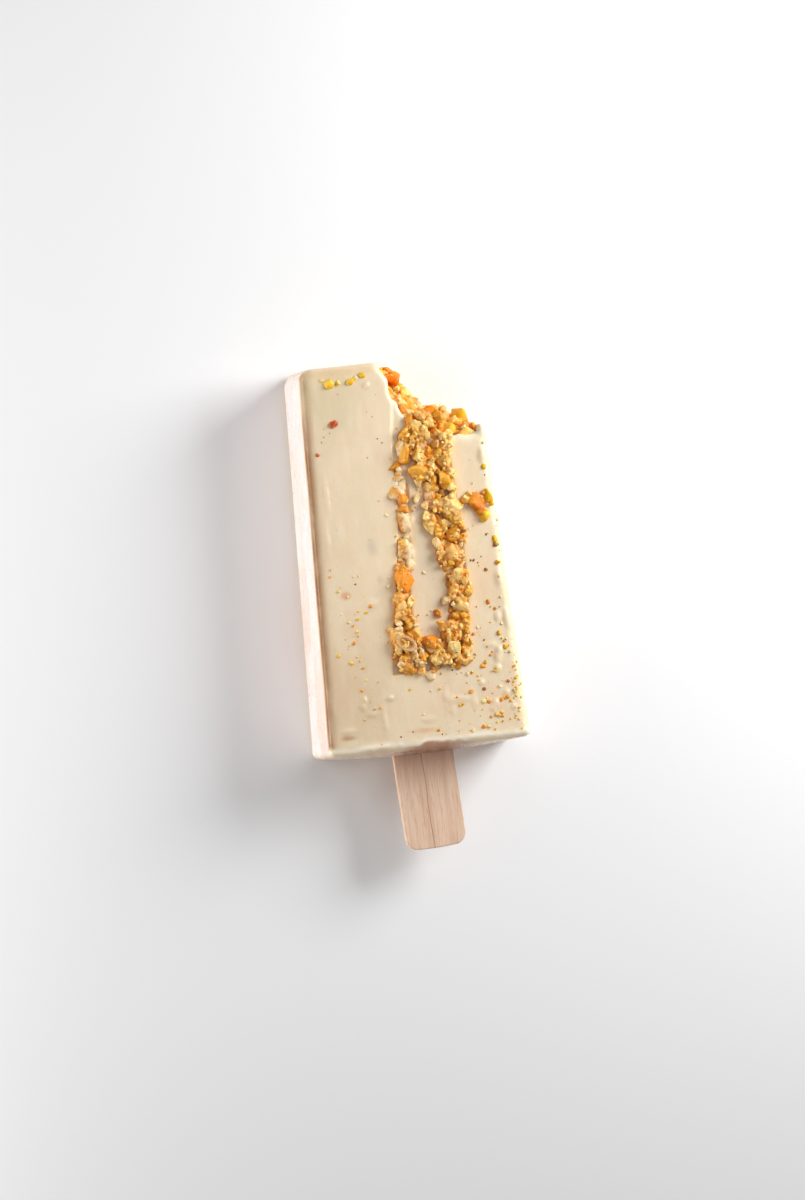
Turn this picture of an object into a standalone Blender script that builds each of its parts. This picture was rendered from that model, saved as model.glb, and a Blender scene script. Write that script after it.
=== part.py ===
"""Bitten ice cream bar on a wooden stick, lying on its back face with the nut-topped face up.

+Y runs from the stick to the tip, +X across the bar, +Z up out of the topped face. Lengths are metres.
The bar itself is modelled from its stick end (y = 0) to its tip, then everything is moved along Y so that
the origin is at the bottom centre of the whole object's box.
"""

import math

import bmesh
import bpy
from mathutils import Matrix, Vector

MM = 0.001

# The moulded bar
BAR_LENGTH = 107.0 * MM
WIDTH_STICK_END = 57.2 * MM
WIDTH_TIP = 49.8 * MM
THICK_STICK_END = 26.0 * MM
THICK_TIP = 24.5 * MM
EDGE_RADIUS = 3.0 * MM  # long edges and the tip's edges
LIP_RADIUS = 1.5 * MM  # edge round the stick end
BASE_BULGE = 1.8 * MM  # the stick end swells out as it freezes
TIP_CROWN = 0.3 * MM

# The white coating and what it holds
COAT = 1.6 * MM
GAP = 0.3 * MM

# The bite out of the tip's right corner: a leaning cylinder with tooth marks
BITE_TOP = Vector((18.0, 103.0, 26.0)) * MM
BITE_BOTTOM = Vector((24.5, 111.0, 0.0)) * MM
BITE_RADIUS_TOP = 19.0 * MM
BITE_RADIUS_BOTTOM = 19.6 * MM
TOOTH_DEPTH = 0.7 * MM
TEETH_PER_TURN = 18
# the coating alone is chipped further back by the tip: a smaller arc, out from the bite's axis at an angle
NOTCH_OUT = 14.9 * MM
NOTCH_ANGLE = math.radians(160.3)
NOTCH_RADIUS = 8.1 * MM
FILLING_PROUD = 0.9 * MM  # the nutty filling crumbles higher than the coating's broken rim

# The wooden stick
STICK_WIDTH = 17.0 * MM
STICK_THICK = 2.0 * MM
STICK_LENGTH = 93.0 * MM
STICK_SHOWS = 26.2 * MM
STICK_CORNER = 3.0 * MM
STICK_END_BOW = 0.5 * MM
STICK_EDGE = 0.25 * MM
STICK_SKEW = math.radians(2.5)

# The band of chopped nuts: a square-cornered U, set into a shallow groove
NUT_HEIGHT = 3.2 * MM
NUT_SUNK = 0.5 * MM
GROOVE_DEPTH = NUT_SUNK + GAP
# its path in millimetres as (outer side, inner side, the way the outer side faces), from the bite down the
# left arm, along the foot and up the right arm to the bite
BAND = (
    ((-0.4, 93.0), (3.4, 93.0), (-1, 0)),
    ((-1.8, 80.0), (3.4, 80.0), (-1, 0)),
    ((-2.8, 62.0), (2.5, 62.0), (-1, 0)),
    ((-6.0, 41.0), (-0.6, 41.0), (-1, 0)),
    ((-8.1, 30.5), (-1.0, 30.5), (-1, 0)),
    ((-8.6, 20.8), (-0.8, 28.8), (-1, -1)),
    ((2.4, 20.6), (2.6, 28.6), (0, -1)),
    ((13.4, 21.2), (6.4, 29.0), (1, -1)),
    ((14.0, 30.5), (6.9, 30.5), (1, 0)),
    ((15.4, 40.0), (9.2, 40.0), (1, 0)),
    ((15.7, 61.0), (7.3, 61.0), (1, 0)),
    ((15.2, 73.0), (6.1, 73.0), (1, 0)),
    ((14.9, 84.0), (5.2, 84.0), (1, 0)),
    ((14.6, 93.0), (5.0, 93.0), (1, 0)),
)
# a loose clump of the same nuts by the right edge: centre, half sizes, height
CLUMP_CENTRE = (21.4, 65.4)
CLUMP_HALF = (3.6, 4.4)
CLUMP_HEIGHT = 2.4


def half_width(y):
    return (WIDTH_STICK_END + (WIDTH_TIP - WIDTH_STICK_END) * y / BAR_LENGTH) / 2


def face_z(y):
    """Height of the topped face at y, with the back face at 0."""
    return THICK_STICK_END + (THICK_TIP - THICK_STICK_END) * y / BAR_LENGTH


def rounded_ring(y, half, low, high, radius, steps=5):
    """A rounded rectangle in the plane y, counter-clockwise seen from the tip."""
    radius = max(0.25 * MM, min(radius, half * 0.98, (high - low) * 0.49))
    centres = (
        (half - radius, low + radius, -90),
        (half - radius, high - radius, 0),
        (-half + radius, high - radius, 90),
        (-half + radius, low + radius, 180),
    )
    ring = []
    for cx, cz, start in centres:
        for i in range(steps + 1):
            a = math.radians(start + 90 * i / steps)
            ring.append(Vector((cx + radius * math.cos(a), y, cz + radius * math.sin(a))))
    return ring


def bar_rings(inset):
    """The bar's sections, all walls moved in by inset."""
    edge = max(EDGE_RADIUS - inset, 0.9 * MM)
    lip = max(LIP_RADIUS - inset * 0.4, 0.7 * MM)
    tip = BAR_LENGTH - TIP_CROWN - inset

    def ring(y, taken, radius):
        return rounded_ring(
            y, half_width(y) - inset - taken, inset + taken, face_z(y) - inset - taken, radius
        )

    rings = []
    # the swollen stick end, from near its middle out to the lip
    foot_half = half_width(0) - inset - lip
    middle = THICK_STICK_END / 2
    foot_high = middle - inset - lip
    for share in (0.12, 0.35, 0.58, 0.8):
        y = inset - BASE_BULGE * (1 - share**2)
        rings.append(
            rounded_ring(
                y, foot_half * share, middle - foot_high * share, middle + foot_high * share, (edge - lip * 0.5) * share
            )
        )
    for i in range(4):  # round the lip
        a = math.radians(30 * i)
        taken = lip * (1 - math.sin(a))
        rings.append(ring(inset + lip * (1 - math.cos(a)), taken, edge - taken * 0.5))
    for i in range(1, 10):  # along the bar
        rings.append(ring(inset + lip + (tip - edge - inset - lip) * i / 10, 0, edge))
    for i in range(6):  # round the tip's edge
        a = math.radians(16.4 * i)
        rings.append(ring(tip - edge + edge * math.sin(a), edge * (1 - math.cos(a)), edge * math.cos(a)))
    last_half = half_width(tip) - inset - edge
    top = face_z(tip) - inset - edge
    low = inset + edge
    centre, reach = (top + low) / 2, (top - low) / 2
    for share in (0.75, 0.4):
        rings.append(
            rounded_ring(
                tip + TIP_CROWN * (1 - share**2), last_half * share, centre - reach * share, centre + reach * share, 0.3 * MM
            )
        )
    return rings


def solid(name, rings, material=None, smooth=True):
    """A closed mesh lofted through rings of equal count, with a face over each end."""
    bm = bmesh.new()
    rows = [[bm.verts.new(p) for p in ring] for ring in rings]
    for a, b in zip(rows, rows[1:]):
        for i in range(len(a)):
            j = (i + 1) % len(a)
            bm.faces.new((a[i], a[j], b[j], b[i]))
    bm.faces.new(rows[0][::-1])
    bm.faces.new(rows[-1])
    bmesh.ops.recalc_face_normals(bm, faces=bm.faces)
    mesh = bpy.data.meshes.new(name)
    bm.to_mesh(mesh)
    bm.free()
    obj = bpy.data.objects.new(name, mesh)
    bpy.context.scene.collection.objects.link(obj)
    if material:
        mesh.materials.append(material)
    if smooth:
        mesh.shade_smooth()
        mesh.set_sharp_from_angle(angle=math.radians(40))
    return obj


def cutter(name, rings):
    obj = solid(name, rings, smooth=False)
    obj.hide_render = True
    obj.display_type = "WIRE"
    return obj


def boolean(obj, other, operation):
    modifier = obj.modifiers.new(f"{operation.lower()}_{other.name}", "BOOLEAN")
    modifier.operation = operation
    modifier.solver = "EXACT"
    modifier.object = other


def finish(name, colour, roughness, metallic=0.0):
    material = bpy.data.materials.new(name)
    material.use_nodes = True
    shader = material.node_tree.nodes["Principled BSDF"]
    shader.inputs["Base Color"].default_value = (*colour, 1.0)
    shader.inputs["Roughness"].default_value = roughness
    shader.inputs["Metallic"].default_value = metallic
    return material


def bite_rings(shrink=0.0, crumble=0.0, notch=False, around=108, levels=9):
    """The bite's cutter, from below the bar to above it. crumble makes its wall uneven."""
    rings = []
    for k in range(levels):
        z = (-6 + 40 * k / (levels - 1)) * MM
        t = z / BITE_TOP.z
        centre = BITE_BOTTOM.lerp(BITE_TOP, t)
        radius = BITE_RADIUS_BOTTOM + (BITE_RADIUS_TOP - BITE_RADIUS_BOTTOM) * t
        ring = []
        for i in range(around):
            a = 2 * math.pi * i / around
            r = radius - shrink + TOOTH_DEPTH * abs(math.cos(TEETH_PER_TURN * a / 2 + 0.4))
            r += crumble * (math.sin(11 * a + 2.1 * k) + 0.7 * math.sin(23 * a - 1.7 * k))
            aside = NOTCH_OUT * math.sin(a - NOTCH_ANGLE)
            if notch and math.cos(a - NOTCH_ANGLE) > 0 and abs(aside) < NOTCH_RADIUS:
                r = max(r, NOTCH_OUT * math.cos(a - NOTCH_ANGLE) + math.sqrt(NOTCH_RADIUS**2 - aside**2))
            ring.append(Vector((centre.x + r * math.cos(a), centre.y + r * math.sin(a), z)))
        rings.append(ring)
    return rings


def stick_rings(grow=0.0):
    """The stick's plan outline at four heights: its flat faces and the eased edge between them."""

    def outline(taken):
        half = STICK_WIDTH / 2 + grow - taken
        long = STICK_LENGTH / 2 - STICK_END_BOW + grow - taken
        corner = STICK_CORNER + grow - taken
        points = []
        for sx, sy, start in ((1, 1, 0), (-1, 1, 90), (-1, -1, 180), (1, -1, 270)):
            for i in range(7):
                a = math.radians(start + 15 * i)
                points.append([sx * (half - corner) + corner * math.cos(a), sy * (long - corner) + corner * math.sin(a)])
            if sx * sy > 0:  # the bowed end, between this corner and the next
                for i in range(1, 6):
                    points.append([sx * (half - corner) * (1 - i / 3), sy * long])
        for p in points:
            share = min(1.0, abs(p[0]) / half)
            p[1] += math.copysign(STICK_END_BOW * (1 - share**2), p[1]) * (abs(p[1]) > long - corner)
        return points

    half = STICK_THICK / 2 + grow
    levels = ((-half, STICK_EDGE), (-half + STICK_EDGE, 0.0), (half - STICK_EDGE, 0.0), (half, STICK_EDGE))
    return [[Vector((x, y, z)) for x, y in outline(taken)] for z, taken in levels]


def place_stick(obj):
    """Its exit from the bar's end is the point it leans about."""
    exit_point = Vector((0, -BASE_BULGE, THICK_STICK_END / 2))
    inner = STICK_LENGTH / 2 - STICK_SHOWS
    lean = Matrix.Translation(exit_point) @ Matrix.Rotation(STICK_SKEW, 4, "Z") @ Matrix.Translation((0, inner, 0))
    obj.matrix_world = lean


def lumps(a, b):
    """A repeatable unevenness between -1 and 1."""
    return (math.sin(1.9 * a + 1.3 * b) + math.sin(3.1 * a - 0.8 * b + 1.7) + math.sin(0.83 * a + 2.6 * b + 0.6)) / 3


def band_rings(grow=0.0, groove=False, step=1.5):
    """Sections of the lumpy band of nuts along its path, or of the groove it sits in."""
    pairs = []
    for outer, inner, (fx, fy) in BAND:
        out = Vector((fx, fy)) * grow
        pairs.append((Vector(outer) + out, Vector(inner) - out))
    sections = []
    for (outer_a, inner_a), (outer_b, inner_b) in zip(pairs, pairs[1:]):
        count = 1 if groove else max(1, round((outer_b - outer_a).length / step))
        for k in range(count):
            t = k / count
            sections.append((outer_a.lerp(outer_b, t), inner_a.lerp(inner_b, t)))
    sections.append(pairs[-1])

    across = (0.0, 0.05, 0.26, 0.5, 0.74, 0.95, 1.0) if not groove else (0.0, 1.0)
    rings = []
    for k, (outer, inner) in enumerate(sections):
        top_row, low_row = [], []
        for c in across:
            p = outer.lerp(inner, c)
            if not groove and 0 < k < len(sections) - 1:
                # the sides wander in a little; the seat keeps the widest outline
                p += (inner - outer).normalized() * (0.5 - c) * (0.3 + 0.3 * lumps(k * 0.9, 2.0 + 3 * (c > 0.5)))
            level = face_z(p.y * MM) / MM
            if groove:
                z = level + 6
            elif c in (0.0, 1.0):
                z = level + 0.5
            else:
                side = 2 * c - 1
                z = level + NUT_HEIGHT / MM * (0.82 - 0.25 * side * side + 0.18 * lumps(p.x * 0.9, p.y * 0.9))
            depth = (GROOVE_DEPTH if groove else NUT_SUNK) / MM
            top_row.append(Vector((p.x, p.y, z)) * MM)
            low_row.append(Vector((p.x, p.y, level - depth)) * MM)
        rings.append(top_row + low_row[::-1])
    return rings


def clump_rings():
    """A low uneven mound, in level rings from its underside up."""
    cx, cy = CLUMP_CENTRE
    level = face_z((cy + CLUMP_HALF[1]) * MM) / MM
    rings = []
    for z, share in ((0.55, 0.9), (0.9, 1.0), (CLUMP_HEIGHT * 0.6, 0.84), (CLUMP_HEIGHT * 0.88, 0.52), (CLUMP_HEIGHT, 0.2)):
        ring = []
        for i in range(20):
            a = 2 * math.pi * i / 20
            wave = 1 - 0.12 * (1 + lumps(2.2 * i, 3.0))
            x = cx + CLUMP_HALF[0] * share * wave * math.cos(a)
            y = cy + CLUMP_HALF[1] * share * wave * math.sin(a)
            ring.append(Vector((x, y, level + z)) * MM)
        rings.append(ring)
    return rings


def main():
    for obj in list(bpy.data.objects):
        bpy.data.objects.remove(obj)

    cream = finish("white_coating", (0.80, 0.68, 0.51), 0.35)
    nutty = finish("nut_filling", (0.75, 0.46, 0.17), 0.7)
    nuts = finish("chopped_nuts", (0.80, 0.45, 0.13), 0.6)
    wood = finish("birch_wood", (0.62, 0.41, 0.27), 0.65)

    # cutters
    bite = cutter("bite_cutter", bite_rings(notch=True))
    bite_inner = cutter("bite_cutter_filling", bite_rings(shrink=FILLING_PROUD, crumble=0.22 * MM))
    hollow = cutter("hollow_cutter", bar_rings(COAT))
    slot = cutter("slot_cutter", stick_rings(grow=GAP))
    groove = cutter("groove_cutter", band_rings(grow=GAP / MM, groove=True))

    # pieces
    coating = solid("coating", bar_rings(0.0), cream)
    boolean(coating, hollow, "DIFFERENCE")
    boolean(coating, slot, "DIFFERENCE")
    boolean(coating, groove, "DIFFERENCE")
    boolean(coating, bite, "DIFFERENCE")

    filling = solid("filling", bar_rings(COAT + GAP), nutty)
    boolean(filling, slot, "DIFFERENCE")
    boolean(filling, bite_inner, "DIFFERENCE")

    stick = solid("stick", stick_rings(), wood)

    band = solid("nut_band", band_rings(), nuts, smooth=False)
    boolean(band, bite, "DIFFERENCE")

    solid("nut_clump", clump_rings(), nuts, smooth=False)

    # the leaning stick and its slot, then everything to the origin
    place_stick(stick)
    place_stick(slot)
    bpy.context.view_layer.update()
    stick_end = min((stick.matrix_world @ v.co).y for v in stick.data.vertices)
    tip_end = max(v.co.y for v in coating.data.vertices)
    shift = Vector((0, -(tip_end + stick_end) / 2, 0))
    for obj in bpy.data.objects:
        obj.location = obj.location + shift


main()
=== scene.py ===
"""The looks of the bitten, nut-topped ice cream bar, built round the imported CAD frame.

All shapes are worked out in "bar millimetres": x across, y from the stick end (0) to the tip (107), z up
from the back face (0) to the nut face (about 26). make() moves them into the frame's metres.
"""

import math

import bmesh
import bpy
import numpy as np
from mathutils import Matrix, Vector


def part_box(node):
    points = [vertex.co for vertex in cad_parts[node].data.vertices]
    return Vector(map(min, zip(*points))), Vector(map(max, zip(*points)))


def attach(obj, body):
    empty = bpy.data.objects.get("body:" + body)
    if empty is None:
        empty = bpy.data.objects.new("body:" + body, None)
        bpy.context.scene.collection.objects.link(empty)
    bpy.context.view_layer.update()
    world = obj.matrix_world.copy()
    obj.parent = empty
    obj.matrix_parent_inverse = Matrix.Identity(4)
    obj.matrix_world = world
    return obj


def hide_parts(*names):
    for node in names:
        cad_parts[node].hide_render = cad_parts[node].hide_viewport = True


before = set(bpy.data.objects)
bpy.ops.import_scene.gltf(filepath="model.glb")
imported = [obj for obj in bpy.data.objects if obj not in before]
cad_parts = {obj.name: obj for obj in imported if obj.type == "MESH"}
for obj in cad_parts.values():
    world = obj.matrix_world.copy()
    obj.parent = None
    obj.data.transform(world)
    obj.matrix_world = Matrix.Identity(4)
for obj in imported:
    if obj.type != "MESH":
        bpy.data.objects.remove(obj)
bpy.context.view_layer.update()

MM = 0.001
COAT_LOW, COAT_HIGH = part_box("coating")

LENGTH, WIDTH_A, WIDTH_B, THICK_A, THICK_B = 107.0, 57.2, 49.8, 26.0, 24.5
Y0 = COAT_HIGH[1] / MM - LENGTH + 0.05  # where the bar's stick end lies in the frame


# ---------------------------------------------------------------- numbers
def smooth(t):
    t = np.clip(t, 0.0, 1.0)
    return t * t * (3 - 2 * t)


def lattice(i, j, k, seed):
    n = (i * 374761393 + j * 668265263 + k * 1442695041 + seed * 974634777) & 0xFFFFFFFF
    n = ((n ^ (n >> 13)) * 1274126177) & 0xFFFFFFFF
    n = n ^ (n >> 16)
    return (n & 0xFFFF) / 32767.5 - 1.0


def noise(p, size, seed=0):
    """Smooth value noise from -1 to 1 with lumps of about `size`."""
    q = p / size + 100.0
    i = np.floor(q).astype(np.int64)
    f = q - i
    f = f * f * (3 - 2 * f)
    out = 0.0
    for dx in (0, 1):
        wx = f[:, 0] if dx else 1 - f[:, 0]
        for dy in (0, 1):
            wy = f[:, 1] if dy else 1 - f[:, 1]
            for dz in (0, 1):
                wz = f[:, 2] if dz else 1 - f[:, 2]
                out = out + wx * wy * wz * lattice(i[:, 0] + dx, i[:, 1] + dy, i[:, 2] + dz, seed)
    return out


def smin(a, b, k):
    h = np.clip(0.5 + 0.5 * (b - a) / k, 0, 1)
    return b + (a - b) * h - k * h * (1 - h)


def smax(a, b, k):
    return -smin(-a, -b, k)


def lin(r, g, b):
    """An sRGB colour, 0 to 255, as linear."""
    out = []
    for c in (r, g, b):
        c /= 255
        out.append(c / 12.92 if c <= 0.04045 else ((c + 0.055) / 1.055) ** 2.4)
    return np.array(out)


# ---------------------------------------------------------------- the bar's form
def half_width(y):
    return (WIDTH_A + (WIDTH_B - WIDTH_A) * np.clip(y, -2, LENGTH) / LENGTH) / 2


def face_z(y):
    return THICK_A + (THICK_B - THICK_A) * np.clip(y, -2, LENGTH) / LENGTH


def bar_sd(p):
    """Distance to the moulded bar: taper, round edges, swollen stick end."""
    x, y, z = p[:, 0], p[:, 1], p[:, 2]
    hw, top = half_width(y), face_z(y)
    zc = top / 2
    swell = np.clip(1 - (x / hw) ** 2, 0, 1) * np.clip(1 - ((z - zc) / zc) ** 2, 0, 1)
    low_end, high_end = -1.7 * swell**0.8, LENGTH - 0.4 + 0.3 * swell
    yc, hy = (low_end + high_end) / 2, (high_end - low_end) / 2
    foot = smooth(1 - (y - low_end) / 5)
    corner = 3.8 - 2.0 * foot
    edge = 2.7 - 1.2 * foot
    qx, qy = np.abs(x) - (hw - corner), np.abs(y - yc) - (hy - corner)
    plan = np.hypot(np.maximum(qx, 0), np.maximum(qy, 0)) + np.minimum(np.maximum(qx, qy), 0) - corner
    wx, wz = plan + edge, np.abs(z - zc) - (zc - edge)
    return np.hypot(np.maximum(wx, 0), np.maximum(wz, 0)) + np.minimum(np.maximum(wx, wz), 0) - edge


def bite_axis(z):
    t = z / 26.0
    return 24.5 - 6.5 * t, 111.0 - 8.0 * t, 19.6 - 0.6 * t


def bite_sd(p):
    """Distance to the bitten-out space: a leaning cylinder with tooth marks."""
    cx, cy, r = bite_axis(p[:, 2])
    dx, dy = p[:, 0] - cx, p[:, 1] - cy
    return np.hypot(dx, dy) - r - 0.7 * np.abs(np.cos(9 * np.arctan2(dy, dx) + 0.4))


def rim_sd(p):
    """The bite as the coating's rim has it: chipped further back by the tip."""
    cx, cy, r = bite_axis(p[:, 2])
    nx, ny = cx - 14.0, cy + 5.0
    return smin(bite_sd(p), np.hypot(p[:, 0] - nx, p[:, 1] - ny) - 8.1, 1.0)


OUTLINE = ((0.0, 96.0), (-1.6, 80.0), (-2.5, 62.0), (-5.6, 41.0), (-7.6, 30.5), (-8.9, 20.3), (2.4, 20.2), (13.2, 22.0), (13.9, 30.5), (15.4, 40.0), (15.6, 61.0), (15.0, 73.0), (14.8, 84.0), (14.6, 96.0))
ISLAND = ((3.9, 78.4), (2.3, 76.0), (1.9, 62.0), (-0.8, 41.0), (-0.9, 31.0), (0.4, 28.6), (5.6, 28.4), (7.6, 31.0), (9.6, 40.0), (8.0, 56.0), (6.6, 70.0), (5.4, 76.5))


def polygon_sd(x, y, corners):
    """Signed distance to a closed outline in the plane."""
    best = np.full(x.shape, 1e9)
    inside = np.zeros(x.shape, bool)
    for (ax, ay), (bx, by) in zip(corners, corners[1:] + corners[:1]):
        ex, ey = bx - ax, by - ay
        t = np.clip(((x - ax) * ex + (y - ay) * ey) / (ex * ex + ey * ey), 0, 1)
        best = np.minimum(best, np.hypot(x - ax - ex * t, y - ay - ey * t))
        if ay != by:
            cross = ((ay > y) != (by > y)) & (x < ax + (y - ay) * ex / ey)
            inside ^= cross
    return np.where(inside, -best, best)


# Chopped nuts of the U, each about where and as big as it is: kind, x, y, width, length.
# g golden, o orange, y yellow, l light broken face, t tan and sugary, p pink-grey, c pale crumb, d dark,
# m under a film of the coating, H half a peanut, r red-brown, k black speck.
BAND_NUTS = (
    ("g", 3.3, 86.2, 2.6, 8.2), ("l", 6.4, 85.9, 5.1, 7.2), ("m", 7.2, 82.3, 2.1, 3.7), ("g", 10.4, 79.4, 4.1, 3.8),
    ("g", 12.9, 77.1, 2.7, 3.7), ("l", 13.5, 82.4, 3.6, 5.7), ("l", 5.6, 80.1, 3.3, 6.0), ("l", 8.3, 76.6, 3.6, 4.7),
    ("g", 6.2, 74.8, 6.3, 5.6), ("g", 12.3, 72.4, 4.8, 6.0), ("l", 12.6, 73.5, 2.6, 3.2), ("c", 4.6, 72.6, 2.2, 1.7),
    ("l", 7.9, 70.7, 3.7, 2.8), ("p", 7.2, 68.3, 2.9, 3.8), ("t", 8.6, 66.3, 2.7, 5.0), ("c", 5.8, 66.1, 2.0, 1.9),
    ("l", 12.5, 65.0, 4.7, 7.3), ("l", 6.4, 62.9, 3.5, 2.8), ("l", 6.8, 60.3, 2.8, 4.6), ("g", 9.5, 59.2, 3.3, 5.0),
    ("y", 14.1, 60.8, 3.7, 3.2), ("c", 3.7, 68.1, 1.4, 2.6), ("d", 15.2, 58.1, 3.1, 2.2), ("g", 12.6, 56.9, 3.6, 4.1),
    ("g", 15.0, 55.6, 2.7, 3.1), ("c", 7.8, 55.6, 2.2, 3.3), ("t", 11.0, 51.6, 7.5, 7.2), ("l", 12.8, 45.3, 6.0, 4.8),
    ("t", 11.0, 41.5, 3.9, 4.8), ("g", 13.9, 41.3, 3.4, 5.0), ("l", 12.4, 37.5, 4.2, 3.7), ("c", 8.6, 39.5, 2.0, 2.0),
    ("o", 6.0, 36.2, 1.7, 2.7), ("t", 8.9, 31.1, 7.0, 6.3), ("l", 10.7, 30.2, 3.0, 4.2), ("g", 13.0, 32.2, 2.7, 6.0),
    ("g", 12.8, 26.4, 2.7, 6.4), ("l", 9.4, 25.9, 4.3, 4.1), ("t", 11.2, 22.9, 4.4, 3.0), ("o", 2.9, 29.0, 5.3, 2.8),
    ("l", 2.9, 26.5, 2.2, 2.2), ("l", 4.7, 24.5, 3.9, 5.1), ("l", 6.6, 23.4, 2.3, 2.5), ("m", 2.2, 19.5, 3.1, 3.6),
    ("c", -5.7, 32.4, 3.0, 2.8), ("l", -2.2, 25.1, 2.2, 2.7), ("c", 0.1, 25.7, 1.7, 2.6), ("c", -0.3, 23.2, 1.4, 2.6),
    ("g", -3.6, 21.8, 3.2, 2.5), ("c", -6.0, 23.1, 2.1, 1.6), ("g", -4.7, 24.5, 2.4, 2.2), ("t", -4.5, 41.1, 3.7, 3.6),
    ("t", -3.9, 37.6, 4.7, 4.7), ("g", -2.3, 34.0, 2.8, 4.5), ("g", -1.1, 31.3, 2.9, 4.6), ("l", -2.3, 35.1, 2.2, 2.3),
    ("o", -2.7, 46.2, 4.4, 7.1), ("m", -1.2, 55.0, 3.6, 7.1), ("m", -0.5, 61.9, 3.0, 7.0), ("o", 0.0, 65.4, 1.9, 1.7),
    ("m", -1.7, 70.2, 3.6, 5.0), ("o", -0.5, 68.7, 2.8, 3.3), ("g", 1.3, 79.4, 3.0, 3.8), ("m", 0.8, 82.7, 2.2, 2.0),
    ("t", -5.0, 29.4, 5.6, 5.8),
)
SIDE_NUTS = (
    ("o", 20.1, 65.6, 3.3, 6.1), ("y", 22.2, 61.4, 2.8, 3.0), ("y", 23.4, 67.0, 1.9, 4.1), ("l", 17.4, 66.5, 2.2, 2.2),
    ("o", 20.9, 63.6, 2.5, 3.9), ("l", 18.6, 67.6, 1.7, 1.9),
)
LOOSE_NUTS = (
    ("y", -17.0, 101.9, 3.0, 2.8), ("l", -14.5, 102.0, 1.9, 1.9), ("y", -11.3, 102.1, 3.0, 2.2), ("l", -9.4, 102.9, 1.7, 1.4),
    ("y", -7.6, 103.3, 2.2, 1.9), ("l", -18.9, 103.2, 1.5, 1.3), ("y", 24.4, 54.7, 1.4, 3.6), ("d", 24.2, 53.1, 1.4, 1.4),
    ("y", 23.6, 75.0, 1.4, 1.7), ("c", 24.3, 81.7, 1.1, 1.4), ("c", 24.3, 79.0, 0.8, 1.1), ("g", 24.2, 48.4, 1.4, 1.4),
)
SPECKS = (
    ("r", -17.1, 90.8, 2.6), ("r", -22.4, 82.9, 1.3), ("d", 17.8, 49.5, 1.0), ("d", 20.9, 46.7, 1.2), ("o", 20.4, 37.8, 1.4),
    ("o", 17.0, 20.4, 1.7), ("y", 23.8, 25.0, 1.7), ("o", 25.6, 19.4, 1.2), ("o", 12.8, 13.7, 1.4), ("o", 2.4, 4.2, 1.1),
    ("o", 15.4, 3.9, 1.4), ("o", 20.8, 6.1, 1.2), ("o", -18.2, 30.4, 1.3), ("o", -22.6, 51.1, 0.7), ("o", -22.9, 49.2, 0.7),
    ("o", 13.7, 18.8, 1.0), ("r", 23.5, 15.5, 1.2), ("o", -12.6, 40.0, 1.2), ("g", -13.9, 38.5, 1.1),
    ("g", -19.7, 25.0, 1.7), ("g", -17.8, 26.7, 0.8), ("g", -12.9, 12.0, 1.0), ("g", -4.2, 16.1, 1.0), ("g", 21.9, 11.0, 1.4),
    ("g", 23.5, 10.0, 1.1), ("g", 20.5, 19.2, 1.4), ("c", 8.1, 12.2, 1.4), ("c", 16.8, 31.0, 1.1),
    ("c", 12.3, 18.7, 1.4), ("c", 12.2, 3.2, 1.4), ("d", 18.1, 27.5, 0.7), ("d", 16.6, 14.1, 1.1), ("d", -16.1, 46.5, 0.6),
    ("d", 16.9, 49.6, 0.8), ("c", -5.2, 64.5, 1.4), ("c", -6.9, 45.0, 1.4), ("c", 3.4, 47.7, 1.4), ("c", -18.9, 36.3, 1.1),
    ("c", -9.3, 34.1, 0.6), ("c", 23.4, 31.4, 1.1), ("y", 24.8, 48.4, 1.1), ("d", 22.0, 56.3, 0.8), ("c", 18.9, 59.1, 0.8),
    ("c", 19.9, 70.6, 1.0), ("g", 25.4, 11.4, 1.1), ("g", 26.2, 16.5, 1.1), ("g", 19.2, 4.6, 1.0),
)
DOTS = (
    (-5.3, 85.6, 0.4), (-4.1, 84.4, 0.4), (-8.7, 80.7, 0.4), (-20.9, 86.2, 0.35), (-20.2, 87.5, 0.3), (-18.4, 88.5, 0.3),
    (23.6, 72.6, 0.5), (-8.2, 3.5, 0.5), (-4.7, 4.5, 0.45), (3.4, 3.0, 0.5), (18.8, 48.8, 0.55), (19.9, 50.4, 0.4),
    (-14.9, 98.9, 0.3), (-6.0, 91.8, 0.3), (8.2, 20.2, 0.7),
)
# what shows of the crumble in the bite: kind, x, y, z, width, length
BITE_NUTS = (
    ("y", -1.5, 103.7, 23.6, 2.9, 4.4), ("l", 0.5, 100.1, 22.2, 2.0, 2.1), ("g", 7.4, 98.8, 6.6, 1.8, 2.1),
    ("g", 4.5, 96.7, 15.6, 2.9, 3.8), ("l", 8.2, 95.4, 9.8, 2.3, 2.5), ("t", 10.2, 93.7, 9.2, 3.6, 3.0),
    ("o", 9.6, 90.6, 16.0, 6.8, 3.1), ("g", 15.7, 93.6, 2.6, 4.0, 2.5), ("p", 11.7, 94.9, 4.6, 2.3, 1.6),
    ("t", 17.6, 90.8, 6.0, 4.6, 3.2), ("y", 10.3, 88.0, 20.5, 2.0, 2.0), ("o", 13.2, 87.1, 19.4, 3.3, 3.7),
    ("l", 19.1, 88.5, 11.1, 5.1, 3.2), ("l", 15.1, 85.2, 22.4, 2.5, 3.4), ("d", 18.3, 86.0, 18.6, 2.7, 2.3),
    ("l", 20.6, 84.9, 22.6, 4.0, 2.7), ("d", 22.2, 87.4, 14.0, 1.6, 1.4), ("l", 23.0, 87.4, 14.5, 1.9, 1.9),
    ("g", 20.7, 90.5, 4.4, 1.9, 1.5), ("l", 19.5, 91.7, 2.8, 1.7, 1.6), ("g", 0.3, 97.9, 23.4, 1.9, 1.7),
    ("o", 5.4, 93.6, 17.8, 2.3, 2.1),
)
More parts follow.
